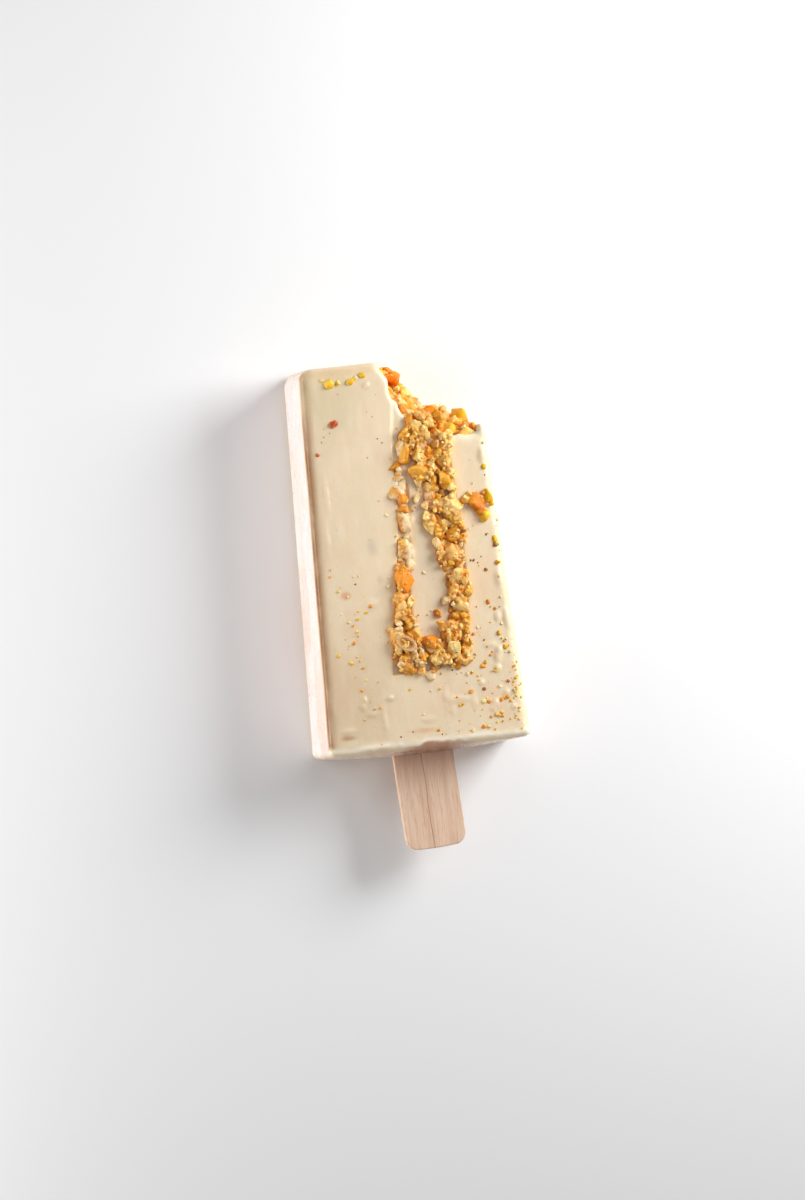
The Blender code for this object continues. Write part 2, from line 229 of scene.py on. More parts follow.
# lumps where the coating has run over nuts: x, y, half width, half length, height
LUMPS = (
    (11.0, 83.4, 2.6, 3.0, 1.5), (1.0, 82.4, 1.4, 1.5, 1.2), (-0.8, 79.3, 1.2, 1.3, 0.9), (1.2, 76.6, 1.1, 1.2, 1.0),
    (0.7, 74.2, 1.0, 1.2, 0.8), (-1.5, 72.4, 1.4, 1.5, 1.1), (-0.9, 49.8, 2.4, 2.2, 1.0), (0.0, 53.6, 1.4, 2.4, 1.1),
    (1.4, 61.8, 1.5, 2.2, 1.1), (0.2, 58.8, 1.2, 2.0, 1.0), (-0.4, 65.4, 1.3, 2.6, 1.1), (21.4, 22.4, 0.7, 1.4, 0.45),
    (20.9, 19.4, 0.6, 0.9, 0.4), (22.0, 24.4, 0.5, 0.6, 0.4), (19.2, 9.6, 0.8, 1.0, 0.4), (18.4, 8.4, 0.4, 0.5, 0.3),
    (-17.9, 13.1, 0.5, 0.9, 0.35), (-17.5, 14.8, 0.35, 0.4, 0.3), (-10.1, 14.5, 0.6, 0.5, 0.3),
    (5.6, 12.6, 0.6, 3.6, 0.12), (7.2, 10.4, 0.6, 3.0, 0.12), (-15.4, 10.6, 1.4, 0.5, 0.1), (-12.2, 9.0, 0.3, 2.6, 0.14),
    (-12.0, 40.6, 1.6, 1.2, 0.1), (23.4, 78.0, 0.8, 2.2, 0.3), (24.0, 44.0, 0.7, 2.4, 0.3), (25.2, 33.0, 0.7, 2.2, 0.3),
    (-22.6, 60.0, 0.5, 5.0, 0.08), (-21.4, 70.5, 0.4, 6.0, 0.08), (22.6, 33.6, 0.6, 0.8, 0.25), (19.6, 26.0, 1.4, 0.4, 0.08),
    (13.4, 11.4, 0.5, 2.2, 0.12), (0.2, 7.6, 1.8, 0.5, 0.1), (-22.4, 6.5, 2.0, 0.6, 0.14), (-6.8, 100.5, 0.6, 0.5, 0.15),
    (9.0, 12.0, 3.0, 0.5, 0.1), (16.0, 16.0, 0.5, 0.5, 0.25), (22.8, 12.6, 0.5, 0.5, 0.3), (24.4, 8.4, 0.5, 0.6, 0.3),
)


def coat_sd(p, fine=True):
    """Distance to the coated bar as it shows: groove, run-over lumps, lip, broken rim and the bite."""
    x, y, z = p[:, 0], p[:, 1], p[:, 2]
    d = bar_sd(p)
    free = smooth((z - 1.2) / 3)
    near = np.abs(d) < 2.0
    if fine:
        q = p[near]
        wave = 0.13 * noise(q, np.array([13.0, 19.0, 9.0]), 3) + 0.05 * noise(q, np.array([3.6, 6.5, 4.0]), 4)
        # a bead of coating that gathered along the stick end's edge
        bead = np.exp(-(((q[:, 1] - 1.3 - 0.5 * noise(q, 6.0, 8)) / 1.0) ** 2))
        wave += bead * (0.16 + 0.22 * noise(q, np.array([4.2, 50, 4.2]), 9) + 0.16 * noise(q, 1.4, 10))
        # small lumps all along the long right edge, where crumbs lie under the coating
        edge_right = np.exp(-(((half_width(q[:, 1]) - q[:, 0] - 0.9) / 1.2) ** 2))
        wave += edge_right * (0.14 * noise(q, np.array([2.0, 2.6, 3.0]), 11) + 0.12 * noise(q, 1.2, 13))
        d[near] -= wave * free[near]
    top = z - face_z(y)
    zone = (top > -4) & (np.abs(x - 4) < 16) & (y > 15) & (y < 99)
    q = p[zone]
    around = np.maximum(polygon_sd(q[:, 0], q[:, 1], OUTLINE), -polygon_sd(q[:, 0], q[:, 1], ISLAND))
    if fine:
        around = around + 0.2 * noise(q, np.array([3.0, 4.0, 50]), 12)
    # it shows open only by the bite on its left, elsewhere nuts fill it to its sides
    around = around + 0.45 * (1 - smooth((q[:, 1] - 74) / 4) * smooth((4 - q[:, 0]) / 3))
    channel = smax(around, -0.7 - top[zone], 0.5)
    d[zone] = smax(d[zone], -channel, 0.55)
    for bx, by, rx, ry, rise in LUMPS:
        at = (np.abs(x - bx) < rx + 2.5) & (np.abs(y - by) < ry + 2.5) & (top > -4)
        q = p[at]
        base = face_z(by) - (0.85 if -3 < bx < 12 and 40 < by < 90 else 0.0)
        tall = rise + 1.0
        r = np.sqrt(((q[:, 0] - bx) / (rx + 0.5)) ** 2 + ((q[:, 1] - by) / (ry + 0.5)) ** 2 + ((q[:, 2] - base + 1.0) / tall) ** 2)
        lump = (r - 1) * min(rx + 0.5, ry + 0.5, tall)
        if fine:
            lump = lump - 0.14 * noise(q, 1.3, 21)
        d[at] = smin(d[at], lump, 0.7)
    # the bite, its rim uneven, and the hollow behind it that the crumble fills
    zone = (x > -8) & (y > 76)
    q = p[zone]
    bite = rim_sd(q)
    inner = bar_sd(q) + 1.7
    if fine:
        bite = bite + 0.3 * noise(q, 3.2, 30) + 0.22 * noise(q, 1.3, 31)
        inner = inner + 0.45 * noise(q, 3.4, 32)
    e = smax(d[zone], -bite, 1.2)
    pocket = np.maximum(inner, bite - 6.5)
    d[zone] = smax(e, -pocket, 0.5)
    # the coating stands up a little at the far tip of the bite
    at = (np.abs(x - 24.4) < 4) & (np.abs(y - 85.0) < 5)
    q = p[at]
    r = np.sqrt(((q[:, 0] - 24.3) / 1.3) ** 2 + ((q[:, 1] - 84.9) / 2.1) ** 2 + ((q[:, 2] - 21.6) / 3.4) ** 2)
    d[at] = smin(d[at], (r - 1) * 1.3, 0.8)
    return d


def surface(sd, low, high, h, refine=True):
    """Naive surface nets of a distance function over a box, as vertices and quads."""
    axes = [np.arange(a, b + h, h) for a, b in zip(low, high)]
    shape = tuple(len(a) for a in axes)
    grid = np.stack(np.meshgrid(*axes, indexing="ij"), axis=-1).reshape(-1, 3)
    values = np.concatenate([sd(part) for part in np.array_split(grid, max(1, len(grid) // 600000))]).reshape(shape)
    del grid
    inside = values < 0
    nx, ny, nz = shape
    corners = [(i, j, k) for i in (0, 1) for j in (0, 1) for k in (0, 1)]
    total = sum(inside[i : nx - 1 + i, j : ny - 1 + j, k : nz - 1 + k].astype(np.int8) for i, j, k in corners)
    active = (total > 0) & (total < 8)
    cells = np.argwhere(active)
    index = np.full(active.shape, -1, np.int64)
    index[active] = np.arange(len(cells))
    acc, count = np.zeros((len(cells), 3)), np.zeros(len(cells))
    for a in corners:
        for axis in range(3):
            if a[axis]:
                continue
            b = tuple(c + (n == axis) for n, c in enumerate(a))
            va = values[cells[:, 0] + a[0], cells[:, 1] + a[1], cells[:, 2] + a[2]]
            vb = values[cells[:, 0] + b[0], cells[:, 1] + b[1], cells[:, 2] + b[2]]
            cut = (va < 0) != (vb < 0)
            t = va[cut] / (va[cut] - vb[cut])
            point = cells[cut] + np.array(a, float)
            point[:, axis] += t
            acc[cut] += point
            count[cut] += 1
    verts = acc / count[:, None] * h + np.array([a[0] for a in axes])
    quads = []
    for axis in range(3):
        u, v = (axis + 1) % 3, (axis + 2) % 3
        front, back = [slice(None)] * 3, [slice(None)] * 3
        front[axis], back[axis] = slice(0, -1), slice(1, None)
        crossing = inside[tuple(front)] != inside[tuple(back)]
        at = np.argwhere(crossing)
        at = at[(at[:, u] > 0) & (at[:, v] > 0) & (at[:, u] < shape[u] - 1) & (at[:, v] < shape[v] - 1)]
        ring = []
        for du, dv in ((-1, -1), (0, -1), (0, 0), (-1, 0)):
            c = at.copy()
            c[:, u] += du
            c[:, v] += dv
            ring.append(index[c[:, 0], c[:, 1], c[:, 2]])
        ring = np.stack(ring, axis=1)
        starts_inside = inside[at[:, 0], at[:, 1], at[:, 2]]
        ring[~starts_inside] = ring[~starts_inside][:, ::-1]
        quads.append(ring)
    quads = np.concatenate(quads)
    if refine:
        e = 0.05
        f = sd(verts)
        slope = np.stack([(sd(verts + e * np.eye(3)[k]) - f) / e for k in range(3)], axis=1)
        size = np.maximum((slope**2).sum(axis=1), 0.25)
        step = -(f / size)[:, None] * slope
        reach = np.linalg.norm(step, axis=1, keepdims=True)
        verts = verts + step * np.minimum(1, 0.5 * h / np.maximum(reach, 1e-9))
    return verts, quads


# ---------------------------------------------------------------- meshes and materials
def make(name, verts, faces, material, slot, shades=None, masks=None, replaces=()):
    mesh = bpy.data.meshes.new(name)
    points = (np.asarray(verts) + np.array([0.0, Y0, 0.0])) * MM
    mesh.from_pydata(points.tolist(), [], faces.tolist() if isinstance(faces, np.ndarray) else faces)
    if shades is not None:
        layer = mesh.color_attributes.new("shade", "FLOAT_COLOR", "POINT")
        layer.data.foreach_set("color", np.concatenate([shades, np.ones((len(shades), 1))], axis=1).astype(np.float32).ravel())
    for key, values in (masks or {}).items():
        layer = mesh.attributes.new(key, "FLOAT", "POINT")
        layer.data.foreach_set("value", np.asarray(values, np.float32))
    mesh.shade_smooth()
    mesh.validate()
    obj = bpy.data.objects.new(name, mesh)
    bpy.context.scene.collection.objects.link(obj)
    mesh.materials.append(material)
    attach(obj, "root")
    if replaces:
        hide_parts(*replaces)
    return obj


class Nodes:
    """A small hand for wiring a Principled material."""

    def __init__(self, name):
        self.material = bpy.data.materials.new(name)
        self.material.use_nodes = True
        self.tree = self.material.node_tree
        self.shader = self.tree.nodes["Principled BSDF"]

    def add(self, kind, **values):
        node = self.tree.nodes.new(kind)
        for key, value in values.items():
            setattr(node, key, value)
        return node

    def link(self, a, b):
        self.tree.links.new(a, b)

    def place(self, scale=(1, 1, 1), rotation=(0, 0, 0)):
        coords = self.add("ShaderNodeTexCoord")
        mapping = self.add("ShaderNodeMapping")
        mapping.inputs["Scale"].default_value = scale
        mapping.inputs["Rotation"].default_value = rotation
        self.link(coords.outputs["Object"], mapping.inputs["Vector"])
        return mapping.outputs["Vector"]

    def noise(self, size_mm, detail=2.0, rough=0.5, vector=None, distort=0.0):
        """Noise with lumps of about size_mm."""
        node = self.add("ShaderNodeTexNoise")
        node.inputs["Scale"].default_value = 1000.0 / size_mm
        node.inputs["Detail"].default_value = detail
        node.inputs["Roughness"].default_value = rough
        node.inputs["Distortion"].default_value = distort
        self.link(vector or self.place(), node.inputs["Vector"])
        return node.outputs["Fac"]

    def attribute(self, name, colour=False):
        node = self.add("ShaderNodeAttribute", attribute_name=name)
        return node.outputs["Color" if colour else "Fac"]

    def span(self, value, low, high, to_low=0.0, to_high=1.0):
        node = self.add("ShaderNodeMapRange")
        for key, v in (("From Min", low), ("From Max", high), ("To Min", to_low), ("To Max", to_high)):
            node.inputs[key].default_value = v
        self.link(value, node.inputs["Value"])
        return node.outputs["Result"]

    def math(self, op, a, b):
        node = self.add("ShaderNodeMath", operation=op)
        for socket, v in zip(node.inputs, (a, b)):
            if isinstance(v, (int, float)):
                socket.default_value = v
            else:
                self.link(v, socket)
        return node.outputs[0]

    def mix(self, factor, a, b, blend="MIX"):
        node = self.add("ShaderNodeMix", data_type="RGBA", blend_type=blend)
        for socket, v in ((node.inputs[0], factor), (node.inputs[6], a), (node.inputs[7], b)):
            if isinstance(v, (int, float)):
                socket.default_value = v
            elif isinstance(v, (tuple, np.ndarray)):
                socket.default_value = (*v[:3], 1.0)
            else:
                self.link(v, socket)
        return node.outputs[2]

    def bump(self, height, strength, distance_mm):
        node = self.add("ShaderNodeBump")
        node.inputs["Strength"].default_value = strength
        node.inputs["Distance"].default_value = distance_mm * MM
        self.link(height, node.inputs["Height"])
        self.link(node.outputs["Normal"], self.shader.inputs["Normal"])

    def set(self, **values):
        names = {
            "rough": "Roughness", "sss": "Subsurface Weight", "sss_scale": "Subsurface Scale", "sss_radius": "Subsurface Radius",
            "specular": "Specular IOR Level", "coat": "Coat Weight", "coat_rough": "Coat Roughness",
        }
        for key, v in values.items():
            self.shader.inputs[names[key]].default_value = v


def coat_material():
    n = Nodes("white_coating_look")
    shade = n.attribute("shade", colour=True)
    cloud = n.noise(9.0, 3.0, 0.55)
    streak = n.noise(3.2, 2.0, 0.5, vector=n.place(scale=(1.0, 0.22, 1.0)))
    tan = n.mix(n.span(cloud, 0.5, 0.72, 0.0, 0.3), shade, tuple(lin(232, 198, 160)))
    pale = n.mix(n.span(streak, 0.52, 0.75, 0.0, 0.22), tan, tuple(lin(250, 238, 214)))
    freckle = n.noise(0.55, 2.0, 0.5)
    rare = n.math("MULTIPLY", n.span(freckle, 0.7, 0.76), n.span(n.noise(7.0, 1.0), 0.45, 0.6))
    final = n.mix(n.math("MULTIPLY", rare, 0.3), pale, tuple(lin(196, 150, 98)))
    n.link(final, n.shader.inputs["Base Color"])
    gloss = n.noise(4.0, 3.0, 0.6, vector=n.place(scale=(1.0, 0.5, 1.0)))
    n.link(n.span(gloss, 0.35, 0.7, 0.2, 0.5), n.shader.inputs["Roughness"])
    n.bump(n.noise(2.2, 3.0, 0.45, vector=n.place(scale=(1.0, 0.6, 1.0))), 0.2, 0.22)
    n.set(sss=0.18, sss_scale=0.002, sss_radius=(1.0, 0.6, 0.3), specular=0.42)
    return n.material


def nut_material(name="chopped_nut_look"):
    """Colour from each piece's own shade, grainy where it is broken, smoother on the skin side."""
    n = Nodes(name)
    shade = n.attribute("shade", colour=True)
    cut = n.attribute("cut")
    blotch = n.noise(1.3, 3.0, 0.65)
    mottled = n.mix(n.span(blotch, 0.45, 0.72, 0.0, 0.3), shade, tuple(lin(230, 146, 26)))
    grain = n.noise(0.55, 3.0, 0.7)
    flour = n.math("MULTIPLY", n.span(grain, 0.52, 0.68, 0.0, 0.38), n.span(cut, 0.35, 0.95))
    floured = n.mix(flour, mottled, tuple(lin(255, 228, 158)))
    pits = n.math("MULTIPLY", n.span(n.noise(0.6, 2.0, 0.6), 0.63, 0.72, 0.0, 0.5), n.span(cut, 0.1, 0.8, 0.25, 1.0))
    final = n.mix(pits, floured, tuple(lin(170, 92, 26)))
    n.link(final, n.shader.inputs["Base Color"])
    n.link(n.span(cut, 0.0, 1.0, 0.38, 0.72), n.shader.inputs["Roughness"])
    n.bump(n.noise(0.55, 4.0, 0.7), 0.8, 0.2)
    n.set(sss=0.15, sss_scale=0.0012, sss_radius=(1.0, 0.4, 0.08), specular=0.4)
    return n.material


def plain_speck_material():
    n = Nodes("dark_speck_look")
    n.link(n.mix(n.span(n.noise(0.4), 0.4, 0.7), tuple(lin(52, 34, 22)), tuple(lin(92, 60, 34))), n.shader.inputs["Base Color"])
    n.set(rough=0.6)
    return n.material


STICK_LEAN = math.radians(2.5)
LINE_AT = 2.5


def wood_material():
    n = Nodes("birch_wood_look")
    along = n.place(scale=(1.0, 0.03, 0.4), rotation=(0, 0, -STICK_LEAN))
    fibre = n.noise(0.42, 4.0, 0.65, vector=along, distort=0.2)
    figure = n.noise(3.0, 2.0, 0.5, vector=n.place(scale=(1.0, 0.06, 0.4), rotation=(0, 0, -STICK_LEAN)), distort=0.6)
    base = n.mix(n.span(figure, 0.35, 0.68), tuple(lin(238, 206, 180)), tuple(lin(226, 190, 162)))
    pores = n.noise(0.36, 2.0, 0.5, vector=n.place(scale=(1.0, 0.11, 0.4), rotation=(0, 0, -STICK_LEAN - 0.12)))
    flecked = n.mix(n.span(pores, 0.56, 0.68, 0.0, 0.4), base, tuple(lin(196, 150, 118)))
    lined = n.mix(n.span(fibre, 0.48, 0.7, 0.0, 0.5), flecked, tuple(lin(198, 152, 120)))
    pale = n.mix(n.span(fibre, 0.28, 0.42, 0.35, 0.0), lined, tuple(lin(248, 224, 202)))
    damp = n.attribute("damp")
    dampened = n.mix(n.math("MULTIPLY", damp, 0.4), pale, tuple(lin(248, 196, 170)))
    # one dark fibre that runs the length of the stick, a little left of its middle
    split = n.add("ShaderNodeSeparateXYZ")
    n.link(n.place(scale=(1000, 1000, 1000), rotation=(0, 0, -STICK_LEAN)), split.inputs["Vector"])
    wander = n.math("MULTIPLY", n.math("SUBTRACT", n.noise(9.0, 1.0), 0.5), 0.7)
    away = n.math("ABSOLUTE", n.math("ADD", n.math("ADD", split.outputs["X"], wander), LINE_AT), 0.0)
    line = n.span(away, 0.06, 0.18, 0.55, 0.0)
    final = n.mix(line, dampened, tuple(lin(128, 84, 60)))
    n.link(final, n.shader.inputs["Base Color"])
    n.link(n.span(fibre, 0.3, 0.7, 0.5, 0.72), n.shader.inputs["Roughness"])
    n.bump(fibre, 0.5, 0.08)
    n.set(sss=0.0, specular=0.35)
    return n.material


# ---------------------------------------------------------------- the coating
CREAM = lin(236, 215, 181)


def coat_shades(p):
    """The coating's colour over the bar: pink flanks and translucent patches, with painted shade on the left edge, the
    tip corner, the underside and broad patches at the left, and painted highlights on the right edge and the bite's
    rim.
    """
    x, y, z = p[:, 0], p[:, 1], p[:, 2]
    hw, top = half_width(y), face_z(y)
    shades = np.tile(CREAM, (len(p), 1))

    def toward(colour, amount):
        nonlocal shades
        amount = np.clip(amount, 0, 1)[:, None]
        shades = shades * (1 - amount) + np.array(colour) * amount

    soft = noise(p, np.array([5.0, 9.0, 5.0]), 50)
    fine = noise(p, np.array([1.6, 3.6, 1.6]), 51)
    # the flanks are pinkish, with long faint smears
    flank = smooth((hw - 0.9 - np.abs(x)) / -1.2) * smooth((top - 1.6 - z) / 1.5)
    toward(lin(250, 234, 233), flank * 0.95)
    low_half = 0.25 + 0.75 * smooth((62 - y) / 30)
    toward(lin(240, 200, 184), flank * low_half * smooth((noise(p, np.array([3, 20, 5.0]), 52) + 0.05) / 0.5) * 0.75)
    # painted shade: a mauve tint on the rounded left corner by the tip, where it turns away from the light
    corner = np.exp(-(((x + hw - 1.0) / 3.0) ** 2) - ((y - LENGTH + 1.5) / 4.0) ** 2) * smooth((top - 0.2 - z) / 1.2)
    toward(lin(236, 210, 204), corner * (0.6 + 0.5 * fine))
    # painted shade: a dark golden band along the rounded left long edge
    inset = x + hw - 0.45 - 0.1 * soft
    left_edge_shade = smooth((inset + 0.45) / 0.35) * np.exp(-((np.maximum(inset - 0.3, 0) / 1.35) ** 1.3)) * smooth((z - top + 3.0) / 0.9)
    toward(lin(142, 86, 6), left_edge_shade * (1.0 + 0.08 * fine) * smooth((y - 0.5) / 3))
    # painted highlight: a pale band along the right long edge, on the side the key light falls from
    right_edge_highlight = np.exp(-(((hw - x - 1.4) / 1.2) ** 2)) * smooth((z - top + 3.2) / 1.6)
    toward(lin(252, 238, 200), right_edge_highlight * 0.6)
    tip_edge = np.exp(-(((LENGTH - 0.4 - y - 1.6) / 1.3) ** 2)) * smooth((z - top + 3.2) / 1.6)
    toward(lin(222, 186, 128), tip_edge * (0.35 + 0.2 * fine))
    # peach and grey patches where it is thin over the ice cream; the two broad darker patches over the upper and lower
    # left are painted shade, and a brown patch darkens the bottom-left corner
    for cx, cy, rx, ry, colour, amount in (
        (-10.4, 56.5, 2.4, 4.0, (198, 182, 162), 0.6), (-9.0, 47.0, 1.4, 2.2, (204, 186, 164), 0.5),
        (-18.0, 94.0, 13.0, 18.0, (214, 196, 156), 0.6), (-17.0, 14.0, 12.0, 22.0, (212, 184, 146), 0.5), (-19.2, 43.6, 1.6, 1.4, (226, 160, 118), 0.85),
        (-6.0, 86.0, 2.6, 9.0, (226, 200, 168), 0.5), (-12.0, 70.0, 5.0, 16.0, (228, 210, 172), 0.4),
        (-20.0, 22.0, 5.0, 16.0, (226, 194, 156), 0.45), (-16.0, 60.0, 4.0, 20.0, (232, 204, 168), 0.3),
        (-3.0, 4.6, 6.5, 1.0, (228, 180, 136), 0.8), (6.0, 13.0, 6.0, 6.0, (232, 202, 168), 0.45),
        (20.0, 44.0, 4.0, 10.0, (240, 208, 168), 0.4), (-22.5, 4.6, 3.6, 1.1, (182, 130, 82), 0.85),
        (18.0, 10.0, 7.0, 6.0, (236, 204, 166), 0.4), (20.0, 84.0, 3.0, 4.0, (250, 236, 204), 0.5),
        (14.0, 80.0, 5.0, 10.0, (246, 222, 176), 0.5), (3.0, 55.0, 3.0, 14.0, (238, 216, 186), 0.4),
    ):
        spot = 1 - np.sqrt(((x - cx) / rx) ** 2 + ((y - cy) / ry) ** 2) + 0.35 * soft + 0.15 * fine
        toward(lin(*colour), smooth(spot / 0.8) * amount * smooth((z - top + 2.5) / 1))
    # warm stain round the nuts
    near = np.maximum(polygon_sd(x, y, OUTLINE), -polygon_sd(x, y, ISLAND))
    on_face = smooth((z - top + 3) / 1.5)
    stain = np.exp(-((np.clip(near, -0.3, 9) / 1.3) ** 2)) * on_face * (0.28 + 0.3 * fine)
    toward(lin(240, 200, 132), stain * (1 - smooth((y - 70) / 4) * smooth((4 - x) / 2)))
    # painted highlight, partly the thick coating's own white: the coating is whitened along the bite's rim
    rim = np.exp(-((np.minimum(rim_sd(p), 6) / 1.2) ** 2)) * smooth((y - 78) / 4)
    toward(lin(252, 240, 212), rim * 0.8)
    # painted shade: the underside of the stick end darkened brownish pink, darkest by the stick
    under = smooth((0.55 + 0.35 * soft - y) / 0.6) * smooth((top - 0.9 - z) / 0.6)
    toward(lin(232, 198, 176), under * (0.7 + 0.3 * fine))
    stick_end_shade = np.exp(-(((x - 2.0) / 9.5) ** 4)) * (0.35 + 0.65 * smooth((z - 8) / 6))
    toward(lin(140, 84, 60), under * stick_end_shade * (0.9 + 0.2 * fine))
    lip = np.exp(-(((y - 1.5 - 0.7 * soft - 0.5 * fine) / 0.7) ** 2)) * smooth((z - top + 3.0) / 1.0)
    toward(lin(253, 244, 226), lip * 0.7)
    # painted shade: a rosy brown band along the lowest edge by the stick
    rosy_shade = np.exp(-(((x - 2.0) / 9.0) ** 4)) * smooth((1.5 + 0.5 * soft + 0.5 * fine - y) / 0.7) * smooth((z - top + 4) / 1)
    toward(lin(176, 120, 92), rosy_shade * 0.8)
    return shades


def build_coating():
    h = 0.42
    verts, quads = surface(coat_sd, (-29.9, -3.2, -0.9), (29.9, 108.4, 29.0), h)
    verts[:, 2] = np.maximum(verts[:, 2], 0.0)
    obj = make(
        "coating_skin", verts, quads, coat_material(), "white_coating", shades=coat_shades(verts), replaces=("coating",)
    )
    # the flat back needs few faces and the front many, so the surplus is collapsed
    want = 185000 / (2 * len(quads))
    if want < 1:
        thin = obj.modifiers.new("thin", "DECIMATE")
        thin.ratio = want
        bpy.context.view_layer.objects.active = obj
        obj.select_set(True)
        bpy.ops.object.modifier_apply(modifier="thin")
        obj.select_set(False)
        obj.data.shade_smooth()
    return obj


# ---------------------------------------------------------------- chopped nuts
def icosphere(level):
    bm = bmesh.new()
    bmesh.ops.create_icosphere(bm, subdivisions=level, radius=1.0)
    verts = np.array([v.co[:] for v in bm.verts])
    faces = np.array([[v.index for v in f.verts] for f in bm.faces])
    bm.free()
    return verts, faces


def rotation(rng, lean, spin=None):
    """A turn about z and then a lean, as a 3 x 3 array."""
    a = rng.uniform(-math.pi, math.pi) if spin is None else spin
    c, s = math.cos(a), math.sin(a)
    turn = np.array([[c, -s, 0], [s, c, 0], [0, 0, 1]])
    axis = rng.normal(size=3)
    axis /= np.linalg.norm(axis)
    k = np.array([[0, -axis[2], axis[1]], [axis[2], 0, -axis[0]], [-axis[1], axis[0], 0]])
    return (np.eye(3) + math.sin(lean) * k + (1 - math.cos(lean)) * k @ k) @ turn


# kind: skin colour, broken-face colour, how many breaks, how deep, grain
LOOKS = {
    "g": (lin(242, 170, 42), lin(253, 210, 104), 5, 0.68, 0.05),
    "o": (lin(238, 138, 8), lin(247, 166, 36), 4, 0.74, 0.04),
    "y": (lin(255, 194, 20), lin(255, 212, 70), 4, 0.72, 0.04),
    "l": (lin(250, 198, 88), lin(255, 230, 150), 7, 0.6, 0.04),
    "t": (lin(234, 168, 78), lin(250, 208, 128), 5, 0.7, 0.1),
    "p": (lin(210, 158, 118), lin(238, 200, 162), 4, 0.66, 0.07),
    "c": (lin(247, 208, 134), lin(254, 232, 182), 6, 0.62, 0.07),
    "d": (lin(140, 80, 28), lin(182, 116, 52), 5, 0.7, 0.08),
    "m": (lin(228, 158, 54), lin(242, 192, 100), 4, 0.72, 0.05),
    "H": (lin(190, 122, 58), lin(212, 160, 104), 0, 1.0, 0.03),
    "r": (lin(196, 72, 26), lin(214, 104, 44), 4, 0.7, 0.06),
    "k": (lin(60, 40, 26), lin(80, 54, 34), 2, 0.8, 0.04),
}


def chunk(rng, kind, size, level):
    """One broken piece: an egg with flats knocked off, rounded where they meet, lumpy and grainy."""
    skin, face, breaks, depth, grain = LOOKS[kind]
    dirs, faces = SPHERES[level]
    half = np.array(size) / 2
    mean = float(half.mean())
    offset = rng.uniform(0, 500, 3)
    # the directions themselves are bent, so that no piece keeps the egg's outline
    bent = dirs + 0.22 * np.stack([noise(dirs + offset, 0.9, 62 + k) for k in range(3)], axis=1) * (kind != "H")
    bent /= np.linalg.norm(bent, axis=1, keepdims=True)
    layers = [1 / np.sqrt(((bent / half) ** 2).sum(axis=1))]
    for _ in range(breaks):
        n = rng.normal(size=3) * np.array([1, 1, 1.2])
        n /= np.linalg.norm(n)
        reach = 1 / math.sqrt(((n / half) ** 2).sum()) * rng.uniform(depth - 0.16, depth + 0.2)
        c = bent @ n
        layers.append(np.where(c > 0.12, reach / np.maximum(c, 0.12), 1e3))
    k = 0.022 * mean
    stack = np.stack(layers)
    low = stack.min(axis=0)
    weights = np.exp(-(stack - low) / k)
    total = weights.sum(axis=0)
    r = low - k * np.log(total)
    cut = 1 - weights[0] / total
    lumpy = noise(dirs * mean + offset, 0.7 * mean, 60)
    knobs = noise(dirs * mean + offset, 0.34 * mean, 64)
    if kind != "H":
        r = r * (1 + 0.12 * lumpy + 0.07 * knobs)
    fine = noise(dirs * r[:, None] + offset, 0.42, 61)
    r = r + 0.9 * grain * fine * (0.5 + cut)
    points = dirs * r[:, None]
    if kind == "H":  # the flat inner side of half a nut, dished, with its pale rim
        flat = points[:, 2] > 0.25 * half[2]
        q = np.sqrt((points[:, 0] / half[0]) ** 2 + (points[:, 1] / half[1]) ** 2)
        dish = 0.25 * half[2] - 0.75 * half[2] * np.exp(-((points[:, 0] / (0.45 * half[0])) ** 2) - (points[:, 1] / (0.32 * half[1])) ** 2)
        points[:, 2] = np.where(flat, dish + 0.05 * fine, points[:, 2])
        cut = np.where(flat, 1.0, 0.0)
    tone = rng.uniform(-1, 1)
    shade = skin + (face - skin) * cut[:, None]
    shade = shade * (1 + 0.1 * tone) * (1 + 0.08 * fine + 0.06 * knobs)[:, None]
    if kind == "H":
        hollow = flat & (q < 0.62)
        shade = np.where(hollow[:, None], lin(186, 118, 58), shade)
        shade = np.where((flat & (q > 0.8))[:, None], lin(228, 190, 144), shade)
    if kind == "m":  # coating over its top, the nut showing low on one side
        cover = smooth((dirs[:, 2] * 0.5 + 0.8 * dirs[:, 0] + 0.5 * lumpy + 0.3 * knobs + 0.25) / 0.6)
        shade = lin(232, 168, 74) * (1 - cover)[:, None] + lin(244, 224, 180) * cover[:, None]
        cut = cut * 0
    if kind == "p":
        crease = smooth((0.12 - np.abs(lumpy)) / 0.08)
        shade = shade * (1 - 0.4 * crease)[:, None]
    return points, faces, shade, cut


SPHERES = {level: icosphere(level) for level in (2, 3, 4)}


class Heap:
    """Pieces gathered into one mesh."""

    def __init__(self):
        self.points, self.faces, self.shades, self.cuts, self.count = [], [], [], [], 0

    def add(self, points, faces, shade, cut):
        self.points.append(points)
        self.faces.append(faces + self.count)
        self.shades.append(shade)
        self.cuts.append(cut)
        self.count += len(points)

    def object(self, name, material, slot, replaces=()):
        return make(
            name, np.concatenate(self.points), np.concatenate(self.faces), material, slot,
            shades=np.clip(np.concatenate(self.shades), 0, 1), masks={"cut": np.concatenate(self.cuts)}, replaces=replaces,
        )


